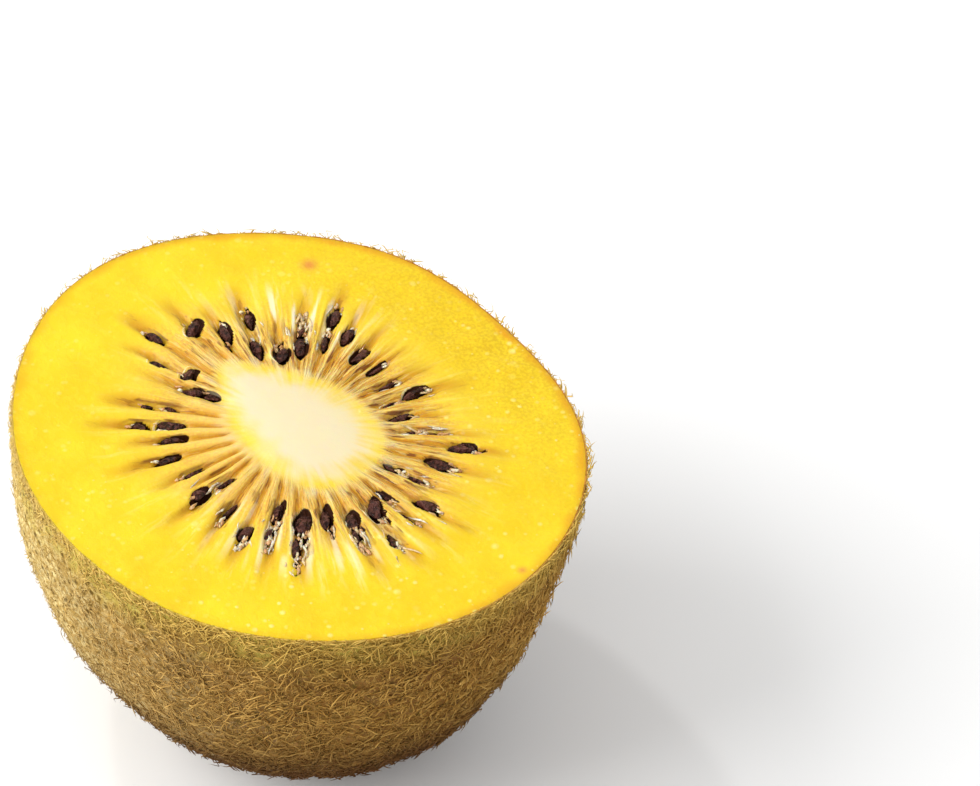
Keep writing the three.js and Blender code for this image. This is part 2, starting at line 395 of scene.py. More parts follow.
def lying_ball(segments, rings):
    """A ball of radius 1 whose poles are on the X axis."""
    deselect_all()
    bpy.ops.mesh.primitive_uv_sphere_add(segments=segments, ring_count=rings, radius=1)
    ball = bpy.context.object
    ball.rotation_euler = (0, math.pi / 2, 0)
    bpy.ops.object.transform_apply(rotation=True)
    return ball


def turn_about(axis, angle):
    near, far = {"X": (1, 2), "Y": (2, 0), "Z": (0, 1)}[axis]
    matrix = np.eye(3)
    matrix[near, near] = matrix[far, far] = math.cos(angle)
    matrix[far, near] = math.sin(angle)
    matrix[near, far] = -math.sin(angle)
    return matrix


def settle(piece, material, slot, *replaced):
    piece.data.materials.append(material)
    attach(piece, "root")
    if replaced:
        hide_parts(*replaced)


# ---- seeds ----

class Seed:
    """A seed's place round and out from the core, its size and the way it points."""

    def __init__(self, number, index, values):
        distance, self.length, self.width, turn, swing = values
        self.number = number
        self.angle = math.radians(360 / LOCULES * index + turn)
        nearest = float(core_radius(np.array(self.angle))) + 2 * FIT_GAP + self.length / 2
        self.distance = max(distance, nearest)
        self.heading = self.angle + math.radians(swing)
        self.wet = float(wetness(self.angle))
        straight = float(abs(swing) < 40)
        long, wetter = float(draw(number, "gap length")), float(draw(number, "wet gap length"))
        self.tail = (0.1 + 0.3 * long + self.wet * (1.0 + 1.1 * wetter)) * straight

    def centre(self, height):
        return fruit_points(np.array(self.angle), np.array(self.distance), np.array(height))


def all_seeds():
    listed = [(index, values) for index, row in enumerate(SEED_ROWS) for values in row]
    return [Seed(number, index, values) for number, (index, values) in enumerate(listed)]


def wetness(angle):
    """How much wet jelly clings to the seeds at an angle round the fruit, 0 to 1."""
    return np.maximum(towards_any(angle, WET_FRONT, WET_BACK), 0.4 * towards(angle, WET_RIGHT))


def model_seed():
    """One seed, 2 long and 2 wide about the origin, its blunt end towards +X."""
    seed = lying_ball(14, 8)
    open_mesh()
    bpy.ops.transform.resize(value=(1.06, 1, 1), center_override=(0, 0, 0))
    bpy.ops.object.mode_set(mode="OBJECT")
    finish = seed.modifiers.new("round", "SUBSURF")
    finish.levels = finish.render_levels = 1
    bpy.ops.object.modifier_apply(modifier=finish.name)
    points = piece_points(seed)
    points[:, 1:] *= (1 + SEED_TAPER * points[:, 0])[:, None]
    set_points(seed, points)
    return seed


def pressed(points, number):
    """A seed's points with flats on it, where its neighbours have pressed on it as it grew."""
    chance = np.random.default_rng(900 + number)
    for _ in range(SEED_FLATS):
        direction = unit(chance.normal(size=3) * (0.8, 1.0, 1.0))
        reach = points @ direction
        over = np.clip(reach - chance.uniform(0.55, 0.84) * reach.max(), 0, None)
        points = points - 0.88 * over[:, None] * direction
    return points / np.abs(points).max(0)


def make_seeds(material):
    pattern = model_seed()
    shape = piece_points(pattern)
    for seed in all_seeds():
        piece = copy_of(pattern)
        piece.name = f"seed_{seed.number:02d}"
        points = shape * (1 + 0.07 * ripples(shape, 1.5, seed=100 + seed.number)[:, None])
        points = points * (1 + 0.025 * ripples(shape, 0.5, seed=200 + seed.number)[:, None])
        size = np.array((seed.length, seed.width, 0.5 + 0.4 * seed.width))
        points = pressed(points, seed.number) * size / 2
        tilt = SEED_TILT * (2 * draw(seed.number, "seed tilt") - 1)
        roll = SEED_ROLL * (2 * draw(seed.number, "seed roll") - 1)
        points = points @ turn_about("X", roll).T @ turn_about("Y", tilt).T
        points = points @ turn_about("Z", seed.heading).T
        set_points(piece, (points + seed.centre(CUT_HEIGHT - SEED_SINK)) * MM)
        # Painted light: a mask of the seed's upper side, which alone gets the lighter patches and pits.
        add_mask(piece, "top", rising(shape[:, 2], -0.25, 0.45))
        select_only(piece)
        bpy.ops.object.shade_smooth_by_angle(angle=SEED_CORNER)
        settle(piece, material, "seed")
    bpy.data.objects.remove(pattern)


# ---- the cut flesh with the core ----

def locule_spans():
    """For each locule: how far out its first and last seeds are, how wide it opens, how far it tails off."""
    index = np.arange(LOCULES)
    bare = core_radius(locule_angle(index)) + 3.5
    distances = [[seed[0] for seed in row] or [bare[k]] for k, row in enumerate(SEED_ROWS)]
    first, last = (np.array([choose(row) for row in distances]) for choose in (min, max))
    broadest = np.array([max((seed[2] for seed in row), default=0.3) for row in SEED_ROWS])
    half = 0.24 + 0.3 * broadest + 0.1 * draw(index, "locule width")
    tail = 1.2 + 2.6 * draw(index, "locule tail")
    return first, last, half, tail


def locule_field(angle, radius, plane):
    """Masks of the locules: the furrow along each, darkened partly as painted shade, its open part by the
    seeds, painted shade along the sides of that part, and its shade.
    """
    ray = ray_number(angle + 0.006 * ripples(plane, 4.0, seed=5))
    index = np.rint(ray)
    spacing = TURN / LOCULES * np.maximum(radius, 1)
    across = np.abs(ray - index) * spacing
    first, last, widest, tail = (values[np.mod(index.astype(int), LOCULES)] for values in locule_spans())
    beyond = radius - last
    opened = rising(radius, first - 2.2, first - 0.6) * (1 - rising(beyond, 0.8, 0.8 + tail))
    started = rising(radius - core_radius(angle), 0.1, 1.4)
    furrow = started * (1 - rising(beyond, 1.0, 4.0 + tail))
    uneven = 1 + 0.18 * radial_fibres(angle, radius, 90, seed=6)
    half = np.minimum((0.16 + (widest - 0.16) * opened) * uneven, 0.4 * spacing)
    inside = opened * (1 - rising(across, 0.5 * half, half + 0.1))
    shaded_groove = furrow * bell(across, 0.2 * spacing)
    shade = band(beyond, (-0.5, 1.5), (1.5, 6.0)) * bell(across, 0.24 * spacing)
    return inside, shaded_groove, opened * bell(across - half, WALL_SHADE_WIDTH), shade


def radial_fibres(angle, radius, count, seed):
    """Uneven heights of about -1 to 1 in stripes that run outwards, about count of them all round."""
    chance = np.random.default_rng(seed)
    total = np.zeros_like(angle)
    for _ in range(FIBRE_WAVES):
        stripes = round(count * chance.uniform(0.55, 1.5))
        phase = chance.uniform(0, TURN)
        drift = chance.normal(0, 0.35)
        total = total + np.sin(stripes * angle + drift * radius + phase)
    return total / math.sqrt(FIBRE_WAVES)


def turned(offset, angle):
    """Offsets along and across a direction."""
    along = offset @ (math.cos(angle), math.sin(angle))
    return along, offset @ (-math.sin(angle), math.cos(angle))


def seed_beds(plane):
    """Masks round the seeds: the space beside and behind a seed, painted near black as painted shade, and
    the raised rim at its edge, painted pale on the side towards the window light as a painted highlight.
    """
    shaded_gap = np.zeros(len(plane))
    lip_highlight = np.zeros(len(plane))
    for seed in all_seeds():
        centre = seed.centre(CUT_HEIGHT)
        near = np.abs(plane - centre[:2]).max(1) < 5
        offset = plane[near] - centre[:2]
        along, across = turned(offset, seed.heading)
        outward, aside = turned(offset, seed.angle)
        side = 1 if draw(seed.number, "gap side") > 0.5 else -1
        half = seed.width / 2 * (1 + SEED_TAPER * along / seed.length)
        dark = np.hypot(along / (seed.length / 2 + 0.05), (across - 0.08 * side) / (half + 0.03))
        start = seed.length / 4
        out = (outward - start) / (start + seed.tail)
        wander = 0.16 * ripples(plane[near], 1.3, seed=31) + 0.1 * side
        narrow = (0.1 + 0.3 * seed.width) * np.sqrt(np.clip(1 - out, 0, 1))
        behind = 1 - rising(np.abs(aside - wander), 0.75 * narrow, narrow + 0.05)
        behind = np.where(out < 1, rising(out, -0.3, 0.1) * behind, 0) * float(seed.tail > 0)
        shaded_gap[near] = np.maximum(shaded_gap[near], np.maximum(1 - rising(dark, 0.98, 1.14), behind))
        rim = np.hypot((along - 0.1) / (seed.length / 2 + 0.24), across / (seed.width / 2 + 0.2))
        # Painted highlight: the raised rim is painted pale only on the side that faces the window light.
        facing = math.radians(230 + 110 * (draw(seed.number, "lip facing") - 0.5))
        lit = 0.5 + 0.5 * np.cos(np.arctan2(offset[:, 1], offset[:, 0]) - facing)
        shown = rising(draw(seed.number, "lip shown"), 0.3, 0.7)
        lip_highlight[near] = np.maximum(lip_highlight[near], bell(rim - 1.0, 0.09) * lit ** 2 * shown)
    return shaded_gap, lip_highlight


def face_relief(angle, share):
    """Points and masks of the cut face."""
    inner = core_radius(angle)
    outer = section_radius(angle, FLESH_INSET)
    radius = np.where(share < 0, (1 + share) * inner, inner + share * (outer - inner))
    points = fruit_points(angle, radius, np.full_like(angle, CUT_HEIGHT))
    plane = points[:, :2]
    inside, shaded_groove, wall_shade, shade = locule_field(angle, radius, plane)
    ring = band(share, *RING_BAND)
    fine = radial_fibres(angle, radius, 150, seed=11)
    broad = radial_fibres(angle, radius, 52, seed=12)
    smooth_side = towards(angle, SMOOTH_RING)
    shaded_gap, lip_highlight = seed_beds(plane)
    septum = ring * (1 - shaded_groove)

    level = np.where(share < 0, CORE_DOME * (1 - (1 + share) ** 2), 0)
    level = level + FLESH_SWELL * (1 - np.clip(share, 0, 1)) ** 2
    level = level + SEPTUM_RISE * septum - (GROOVE_DEPTH + SMOOTH_GROOVE_DEPTH * smooth_side) * shaded_groove
    level = level - OPEN_DEPTH * inside - GAP_DEPTH * shaded_gap + LIP_RISE * lip_highlight
    level = level + FIBRE_RISE * (1 - smooth_side) * ring * fine
    points[:, 2] += level + WAVE_RISE * ripples(plane, 5.0, seed=9) * band(share, *WAVE_BAND)

    star = np.clip(radius - inner, -8, 12) - 1.2 * septum + 0.45 * ripples(plane, 3.0, seed=16)
    star = star - rising(radius, 3.0, 8.0) * (0.4 * broad + 0.1 * fine)
    # Pale rays of the flesh, painted stronger at the front and back as painted sheen.
    sheen_zones = 0.25 + 0.75 * towards_any(angle, SHEEN_FRONT, SHEEN_BACK)
    # Painted highlight: pale glinting streaks at the back and front.
    highlight_streaks = np.maximum(towards(angle, HIGHLIGHT_BACK), 0.6 * towards(angle, HIGHLIGHT_FRONT))
    highlight_streaks = highlight_streaks * band(share, *HIGHLIGHT_BAND) * (1 - inside) * (1 - shaded_gap)
    streaks = band(share, *STREAK_BAND) * (1 - shaded_groove) * (1 - shade)
    spots = [bell(np.linalg.norm(plane - (east, north), axis=1), size) for east, north, size in BLEMISHES]
    border = rising(share + 0.01 * ripples(plane, 4.0, seed=18), 0.94, 1.0)
    masks = {
        "core": 1 - rising(star, -3.2, 1.0),
        "locule": inside * (0.35 + 0.6 * wetness(angle)),
        # The furrows: partly their own amber, partly painted shade.
        "shaded_groove": shaded_groove * (1 - 0.6 * inside),
        # Painted shade along the sides of the open locules.
        "wall_shade": wall_shade,
        "septum": septum * (1 - 0.8 * rising(share, 0.02, 0.4)),
        "frayed": ring * (1 - 0.95 * smooth_side) * (1 - rising(share, 0.18, 0.42)),
        "threads": ring * (1 - 0.6 * smooth_side) * (1 - rising(share, 0.25, 0.5)),
        "ridge": septum * smooth_side * (1 - rising(share, 0.25, 0.55)),
        "blemish": sum(spots),
        "ochre": towards(angle, OCHRE_FLESH) * rising(share, 0.35, 0.75),
        "ray_and_sheen": sheen_zones * streaks * rising(broad, -0.2, 1.2),
        "highlight_streaks": highlight_streaks * rising(radial_fibres(angle, radius, 66, seed=13), 0.35, 0.95),
        # Pale flecks of the flesh everywhere, thicker at the front and right as painted glints.
        "speckled_and_glinting": 0.3 + 0.7 * towards_any(angle, GLINT_RIGHT, GLINT_FRONT),
        "shade": shade,
        # Painted shade round and behind the seeds.
        "shaded_gap": shaded_gap,
        # Painted highlight on the raised rims beside the seeds.
        "lip_highlight": lip_highlight,
        "edge": (1 - 0.85 * towards(angle, SHELTERED_RIM)) * border,
        "tint": rising(share, -0.02, 0.1) * (1 - rising(share + 0.06 * broad, 0.22, 0.5)),
    }
    return points, masks


def make_flesh(material):
    """The whole cut face: -1 is the middle of the core, 0 its edge and 1 the edge of the flesh."""
    core = np.linspace(-1, 0, CORE_ROWS, endpoint=False)
    ring = np.linspace(0, RING_END, RING_ROWS, endpoint=False)
    face = np.concatenate([core, ring, np.linspace(RING_END, 1, OUTER_ROWS)])
    rows = len(face) + UNDER_ROWS + 1

    def place(angle, row):
        share = face[np.minimum(row, len(face) - 1)]
        points, masks = face_relief(angle, share)
        under = row >= len(face)
        down = np.clip((row - len(face) + 1) / UNDER_ROWS, 0, 1)
        below = side_points(angle, down, lining_inset(down, FLESH_INSET))
        points[under] = below[under]
        points[row == rows] = pole_point(FLESH_INSET)
        for values in masks.values():
            values[under] = 0
        masks["edge"][under] = 1
        return points, masks

    settle(wrapped_grid("cut_flesh", FLESH_COLUMNS, rows, place), material, "flesh", "flesh", "core")


# ---- the jelly round the seeds ----

def jelly_places():
    """Angle, distance out, length, width, level, tone and number of each lump and thread."""
    for seed in all_seeds():
        lumps = range(2 + round(13 * seed.wet))
        threads = range(LUMP_PLACES, LUMP_PLACES + round(5 * seed.wet))
        for turn in (*lumps, *threads):
            lot = seed.number * JELLY_PLACES + turn
            aside, along, beyond, long, wide, light = (
                draw(lot, f"jelly {trait}") for trait in "aside along beyond length width tone".split())
            if turn < LUMP_PLACES:
                out = seed.distance + seed.length * (0.25 + 0.25 * along) + (0.3 + 1.05 * seed.tail) * beyond
                side = (aside - 0.5) * (0.3 + 0.75 * seed.width)
                form = (0.25 + 0.75 * long, 0.18 + 0.24 * wide, -0.12, 0.25 + 0.75 * light)
            else:
                out = seed.distance + seed.length * (along - 0.3) + 1.3 * seed.wet * beyond
                side = (seed.width / 2 + 0.15 + 0.4 * aside) * (1 if turn % 2 else -1)
                form = (1.0 + 2.0 * long, 0.15 + 0.15 * wide, -0.02, 0.65 + 0.35 * light)
            yield seed.angle + side / out, out, *form, lot


def make_jelly(material):
    """Wet lumps of jelly: one is modelled, then drawn out along a wandering line for each copy."""
    lump = lying_ball(10, 7)
    shape = piece_points(lump)
    copies = []
    for angle, distance, length, width, level, tone, number in jelly_places():
        copy = copy_of(lump)
        points = shape * (1 + 0.3 * ripples(shape, 1.1, seed=5000 + number)[:, None])
        points = points * (length / 2, width / 2, 0.42 * width)
        bends, start = 2 + 2 * draw(number, "jelly bends"), 6 * draw(number, "jelly bend start")
        points[:, 1] += 0.06 * length * np.sin(shape[:, 0] * bends + start)
        points = points @ turn_about("Y", 0.7 * (draw(number, "jelly tilt") - 0.5)).T
        points = points @ turn_about("Z", angle + 0.5 * (draw(number, "jelly turn") - 0.5)).T
        height = CUT_HEIGHT + level + 0.16 * (draw(number, "jelly height") - 0.5)
        centre = fruit_points(np.array(angle), np.array(distance), np.array(height))
        set_points(copy, (points + centre) * MM)
        add_mask(copy, "tone", np.full(len(shape), tone))
        copies.append(copy)
    bpy.data.objects.remove(lump)
    select_only(*copies)
    bpy.ops.object.join()
    jelly = bpy.context.object
    jelly.name = "seed_jelly"
    bpy.ops.object.shade_smooth()
    settle(jelly, material, "flesh")


# ---- the peel ----

def peel_surface(angle, down):
    """Points of the peel's outside with its slight lumps, at a share of the way down the side."""
    base = side_points(angle, down, 0.0)
    fade = rising(down, 0.0, 0.08) * (1 - rising(down, 0.92, 1.0))
    swell = sum(lumps * ripples(base, apart, seed) for lumps, apart, seed in PEEL_LUMPS)
    outward = unit(base - (0, 0, CUT_HEIGHT))
    return base + outward * ((swell - PEEL_SINK) * fade)[..., None]


def make_peel(material):
    top = PEEL_SCAR_ROWS + PEEL_SIDE_ROWS
    rows = top + PEEL_INNER_ROWS + 2

    def place(angle, row):
        scar = np.clip(row / PEEL_SCAR_ROWS, 0, 1)
        down = 1 - np.clip((row - PEEL_SCAR_ROWS) / PEEL_SIDE_ROWS, 0, 1)
        inner = np.clip((row - top - 1) / PEEL_INNER_ROWS, 0, 1)
        points = peel_surface(angle, down)
        below = row < PEEL_SCAR_ROWS
        points[below] = scar_points(angle, scar, 0.0)[below]
        within = row > top
        points[within] = side_points(angle, inner, lining_inset(inner, PEEL_THICKNESS))[within]
        points[row == rows] = pole_point(PEEL_THICKNESS)
        rise, apart, seed = RIM_RAGGED
        sheltered = towards(angle, SHELTERED_RIM)
        rim = (row == top) | (row == top + 1)
        points[rim, 2] += (rise * ripples(points, apart, seed) - RIM_DROP * sheltered)[rim]
        masks = {
            "scar": np.where(below, 1 - rising(scar, 0.25, 0.8), 0),
            "rim": 1 - rising(CUT_HEIGHT - points[:, 2], 0.0, 0.35),
            "pale": towards(angle, LIT_SKIN_SIDE),
            "sheltered": sheltered,
        }
        return points, masks

    settle(wrapped_grid("peel", PEEL_COLUMNS, rows, place), material, "skin", "skin")


# ---- hairs ----

def model_hair(segments):
    """One straight hair, 1 long up +Z and 1 in radius at its root, with three sides."""
    deselect_all()
    bpy.ops.mesh.primitive_circle_add(vertices=3, radius=1, fill_type="NGON")
    hair = bpy.context.object
    open_mesh()
    for index in range(segments):
        lift = {"value": (0, 0, 1 / segments)}
        bpy.ops.mesh.extrude_region_move(TRANSFORM_OT_translate=lift)
        height = (index + 1) / segments
        narrow = (1 - HAIR_TAPER * (index + 1) / segments) / (1 - HAIR_TAPER * index / segments)
        bpy.ops.transform.resize(value=(narrow, narrow, 1), center_override=(0, 0, height))
    bpy.ops.mesh.merge(type="CENTER")
    bpy.ops.mesh.select_all(action="SELECT")
    bpy.ops.mesh.quads_convert_to_tris()
    close_mesh()
    shape = piece_points(hair)
    triangles = np.zeros(len(hair.data.polygons) * 3, int)
    hair.data.polygons.foreach_get("vertices", triangles)
    bpy.data.objects.remove(hair)
    return shape, triangles.reshape(-1, 3)


def hair_roots(count, thinning, chance):
    """Angles and shares down the side, spread evenly over the skin's area but for the thinning."""
    down_edges = np.linspace(0.0015, 0.985, ROOT_ROWS + 1)
    angle_edges = np.linspace(0, TURN, ROOT_COLUMNS + 1)
    down, angle = np.meshgrid(down_edges, angle_edges, indexing="ij")
    corners = side_points(angle, down, 0.0)
    first = corners[1:, :-1] - corners[:-1, :-1]
    second = corners[:-1, 1:] - corners[:-1, :-1]
    area = np.linalg.norm(np.cross(first, second), axis=-1)
    angle, down = angle[:-1, :-1], down[:-1, :-1]
    sparse = thinning * towards(angle, LIT_SKIN_SIDE) * rising(down, 0.0, 0.06)
    crowd = area * (1 + 1.3 * (1 - rising(down, 0.0, 0.05))) * (1 - sparse)
    cells = chance.choice(crowd.size, size=count, p=crowd.ravel() / crowd.sum())
    row, column = np.divmod(cells, ROOT_COLUMNS)
    down_step = down_edges[1] - down_edges[0]
    angle_step = angle_edges[1]
    downs = down_edges[row] + chance.uniform(size=count) * down_step
    angles = angle_edges[column] + chance.uniform(size=count) * angle_step
    return angles, downs


def bend_hairs(shape, angle, down, length, radius, chance):
    """Copies of the modelled hair, each leaning, bent and curled on its own root."""
    roots = peel_surface(angle, down)
    lower = unit(side_points(angle, down + NUDGE, 0) - side_points(angle, down - NUDGE, 0))
    round_way = unit(side_points(angle + NUDGE, down, 0) - side_points(angle - NUDGE, down, 0))
    normal = unit(np.cross(lower, round_way))
    count = len(roots)
    pale = towards(angle, LIT_SKIN_SIDE)
    swirl = 1.1 * ripples(roots, 12.0, seed=31) + ripples(roots, 3.5, seed=32)
    scatter = 1.1 + 1.5 * pale + 2 * (1 - rising(down, 0.0, 0.06))
    swirl = (swirl + chance.normal(0, 1.0, count) * scatter)[:, None]
    ahead = np.cos(swirl) * lower + np.sin(swirl) * round_way
    side = np.cross(normal, ahead)
    lift = chance.normal(LIFT_MIDDLE, LIFT_SPREAD, count) + PALE_LIFT * pale
    lift = np.radians(np.clip(lift, *LIFT_LIMITS))[:, None]
    curl = np.clip(chance.normal(0, CURL_SPREAD, count), -CURL_LIMIT, CURL_LIMIT)[:, None]
    wave = chance.normal(0, 0.2, count)[:, None]
    droop = chance.uniform(0.2, 0.8, count)[:, None]
    tilt = np.cos(lift) * normal - np.sin(lift) * ahead
    long, wide, along = length[:, None], radius[:, None], shape[:, 2][None, :]
    up = long * np.sin(lift) * (along - 0.5 * droop * along ** 2)
    out = long * np.cos(lift) * (along - 0.14 * curl ** 2 * along ** 3)
    aside = long * (0.55 * curl * along ** 2 + wave * np.sin(TURN * along))
    points = (roots - ROOT_DEPTH * normal)[:, None, :]
    for reach, direction in ((up, normal), (out, ahead), (aside, side),
                             (shape[:, 0] * wide, side), (shape[:, 1] * wide, tilt)):
        points = points + reach[..., None] * direction[:, None, :]
    points[..., 2] -= RIM_SQUASH * np.clip(points[..., 2] - CUT_HEIGHT, 0, None)
    points[..., 2] = np.maximum(points[..., 2], FLOOR_GAP)
    return points


def make_hairs(material):
    chance = np.random.default_rng(7)
    coats = []
    for segments, count, thinning, middle, spread, thinnest, thickest in HAIR_KINDS:
        shape, triangles = model_hair(segments)
        angle, down = hair_roots(count, thinning, chance)
        pale = towards(angle, LIT_SKIN_SIDE)
        length = middle * np.exp(chance.normal(0, spread, count)) * (1 - 0.62 * pale)
        length = np.minimum(length, LONGEST_HAIR) * (1 - 0.35 * rising(down, 0.35, 0.75))
        radius = chance.uniform(thinnest, thickest, count) * (1 - 0.45 * pale)
        points = bend_hairs(shape, angle, down, length, radius, chance)
        tone = np.clip(chance.normal(0.5, 0.22, count), 0, 1)
        masks = np.stack(np.broadcast_arrays(tone[:, None], shape[None, :, 2], pale[:, None]), -1)
        sectors = np.floor(np.mod(angle, TURN) / (TURN / HAIR_SECTORS))
        coats.append((sectors, np.concatenate([points, masks], -1), triangles))
    for sector in range(HAIR_SECTORS):
        parts, faces, total = [], [], 0
        for sectors, table, triangles in coats:
            group = table[sectors == sector]
            starts = total + np.arange(len(group)) * group.shape[1]
            faces.append((triangles[None] + starts[:, None, None]).reshape(-1, 3))
            parts.append(group.reshape(-1, table.shape[2]))
            total += len(parts[-1])
        table = np.concatenate(parts)
        mesh = bpy.data.meshes.new(f"hair_{sector + 1}")
        mesh.from_pydata(table[:, :3] * MM, [], np.concatenate(faces), shade_flat=False)
        coat = bpy.data.objects.new(mesh.name, mesh)
        bpy.context.collection.objects.link(coat)
        for column, mask in enumerate(("tone", "tip", "pale"), 3):
            add_mask(coat, mask, table[:, column])
        select_only(coat)
        bpy.ops.object.shade_smooth()
        settle(coat, material, "hair")


# ---- materials ----

class Nodes:
    """A node tree in the making. Wherever a number or a mask goes in, a mask of the mesh may be named."""

    def __init__(self, tree):
        self.tree = tree

    def add(self, kind, inputs, **settings):
        node = self.tree.nodes.new(kind)
        for name, value in settings.items():
            setattr(node, name, value)
        for name, value in inputs.items():
            if isinstance(value, str):
                value = self.add("ShaderNodeAttribute", {}, attribute_name=value).outputs["Fac"]
            if isinstance(value, bpy.types.NodeSocket):
                self.tree.links.new(value, node.inputs[name])
            else:
                node.inputs[name].default_value = value
        return node

    def maths(self, operation, first, second):
        return self.add("ShaderNodeMath", {0: first, 1: second}, operation=operation).outputs[0]

    def times(self, first, second):
        return self.maths("MULTIPLY", first, second)

    def plus(self, first, second):
        return self.maths("ADD", first, second)

    def ramp(self, value, low, high, to_low=0.0, to_high=1.0):
        limits = {"Value": value, "From Min": low, "From Max": high, "To Min": to_low, "To Max": to_high}
        return self.add("ShaderNodeMapRange", limits, interpolation_type="SMOOTHSTEP").outputs[0]

    def mix(self, amount, low, high):
        """A colour between two others. Factor, A and B are sockets 0, 6 and 7 of a colour mix."""
        low, high = [(*end, 1.0) if isinstance(end, tuple) else end for end in (low, high)]
        return self.add("ShaderNodeMix", {0: amount, 6: low, 7: high}, data_type="RGBA").outputs[2]


def new_group(name, labels):
    """A node group: coordinates and some numbers go in, a mask comes out."""
    tree = bpy.data.node_groups.new(name, "ShaderNodeTree")
    tree.interface.new_socket("Vector", in_out="INPUT", socket_type="NodeSocketVector")
    for label in labels:
        tree.interface.new_socket(label, in_out="INPUT", socket_type="NodeSocketFloat")
    tree.interface.new_socket("Mask", in_out="OUTPUT", socket_type="NodeSocketFloat")
    given = tree.nodes.new("NodeGroupInput").outputs
    return Nodes(tree), given, tree.nodes.new("NodeGroupOutput").inputs["Mask"]


def mottle_group():
    """Cloudy unevenness: a mask from 0 to 1 between two levels of a noise."""
    group, given, mask = new_group("mottle", ("Scale", "Detail", "Low", "High"))
    inputs = {label: given[label] for label in ("Vector", "Scale", "Detail")}
    noise = group.add("ShaderNodeTexNoise", inputs).outputs["Fac"]
    group.tree.links.new(group.ramp(noise, given["Low"], given["High"]), mask)
    return group.tree


def flecks_group():
    """Scattered small spots of uneven size: a mask that is 1 in the spots."""
    group, given, mask = new_group("flecks", ("Scale", "Size", "Share"))
    inputs = {label: given[label] for label in ("Vector", "Scale")}
    cells = group.add("ShaderNodeTexVoronoi", inputs).outputs
    lots = group.add("ShaderNodeSeparateColor", {"Color": cells["Color"]}).outputs
    outer = group.times(given["Size"], group.ramp(lots["Green"], 0, 1, *FLECK_SIZES))
    spot = group.ramp(cells["Distance"], outer, group.times(outer, FLECK_MIDDLE))
    kept = group.maths("LESS_THAN", lots["Red"], given["Share"])
    group.tree.links.new(group.times(spot, kept), mask)
    return group.tree


class Paint(Nodes):
    """A material in the making: patterns in object coordinates, and colours laid one over another."""

    def __init__(self, name, shader_values):
        self.material = bpy.data.materials.new(name)
        self.material.use_nodes = True
        super().__init__(self.material.node_tree)
        self.shader = self.tree.nodes["Principled BSDF"].inputs
        for label, value in shader_values.items():
            self.shader[label].default_value = value
        self.place = self.tree.nodes.new("ShaderNodeTexCoord").outputs["Object"]
        self.colour = None

    def feed(self, label, value):
        self.tree.links.new(value, self.shader[label])

    def lay(self, mask, strength, top):
        """Lays a colour over the others where a mask is, as far as the strength lets it."""
        self.colour = self.mix(self.times(mask, strength), self.colour, top)

    def finish(self, height, depth):
        """Gives the shader its colour, and a relief as deep as is said, in metres."""
        self.feed("Base Color", self.colour)
        relief = {"Height": height, "Distance": depth, "Strength": 1.0}
        self.feed("Normal", self.add("ShaderNodeBump", relief).outputs["Normal"])
        return self.material

    def pattern(self, group, inputs):
        return self.add("ShaderNodeGroup", inputs, node_tree=group).outputs["Mask"]

    def mottled(self, scale, low, high, detail=3.0, place=None):
        inputs = {"Vector": place or self.place, "Scale": scale, "Detail": detail, "Low": low, "High": high}
        return self.pattern(MOTTLE, inputs)

    def flecked(self, scale, size, share):
        return self.pattern(FLECKS, {"Vector": self.place, "Scale": scale, "Size": size, "Share": share})

    def streaked(self, round_scale, out_scale, low, high):
        """Mottling drawn out along lines from the fruit's axis to its skin."""
        def vector(operation, *inputs):
            return self.add("ShaderNodeVectorMath", dict(inputs), operation=operation).outputs

        middle = (CUT_MIDDLE[0] * MM, CUT_MIDDLE[1] * MM, 0)
        centred = vector("SUBTRACT", (0, self.place), (1, middle))[0]
        flat = vector("MULTIPLY", (0, centred), (1, (1, 1, 0)))[0]
        wide = vector("SCALE", (0, vector("NORMALIZE", (0, flat))[0]), (3, round_scale))[0]
        radius = vector("LENGTH", (0, flat))["Value"]
        out = self.add("ShaderNodeCombineXYZ", {"Z": self.times(radius, out_scale)}).outputs[0]
        return self.mottled(1.0, low, high, place=vector("ADD", (0, wide), (1, out))[0])

    def height(self):
        return self.add("ShaderNodeSeparateXYZ", {"Vector": self.place}).outputs["Z"]


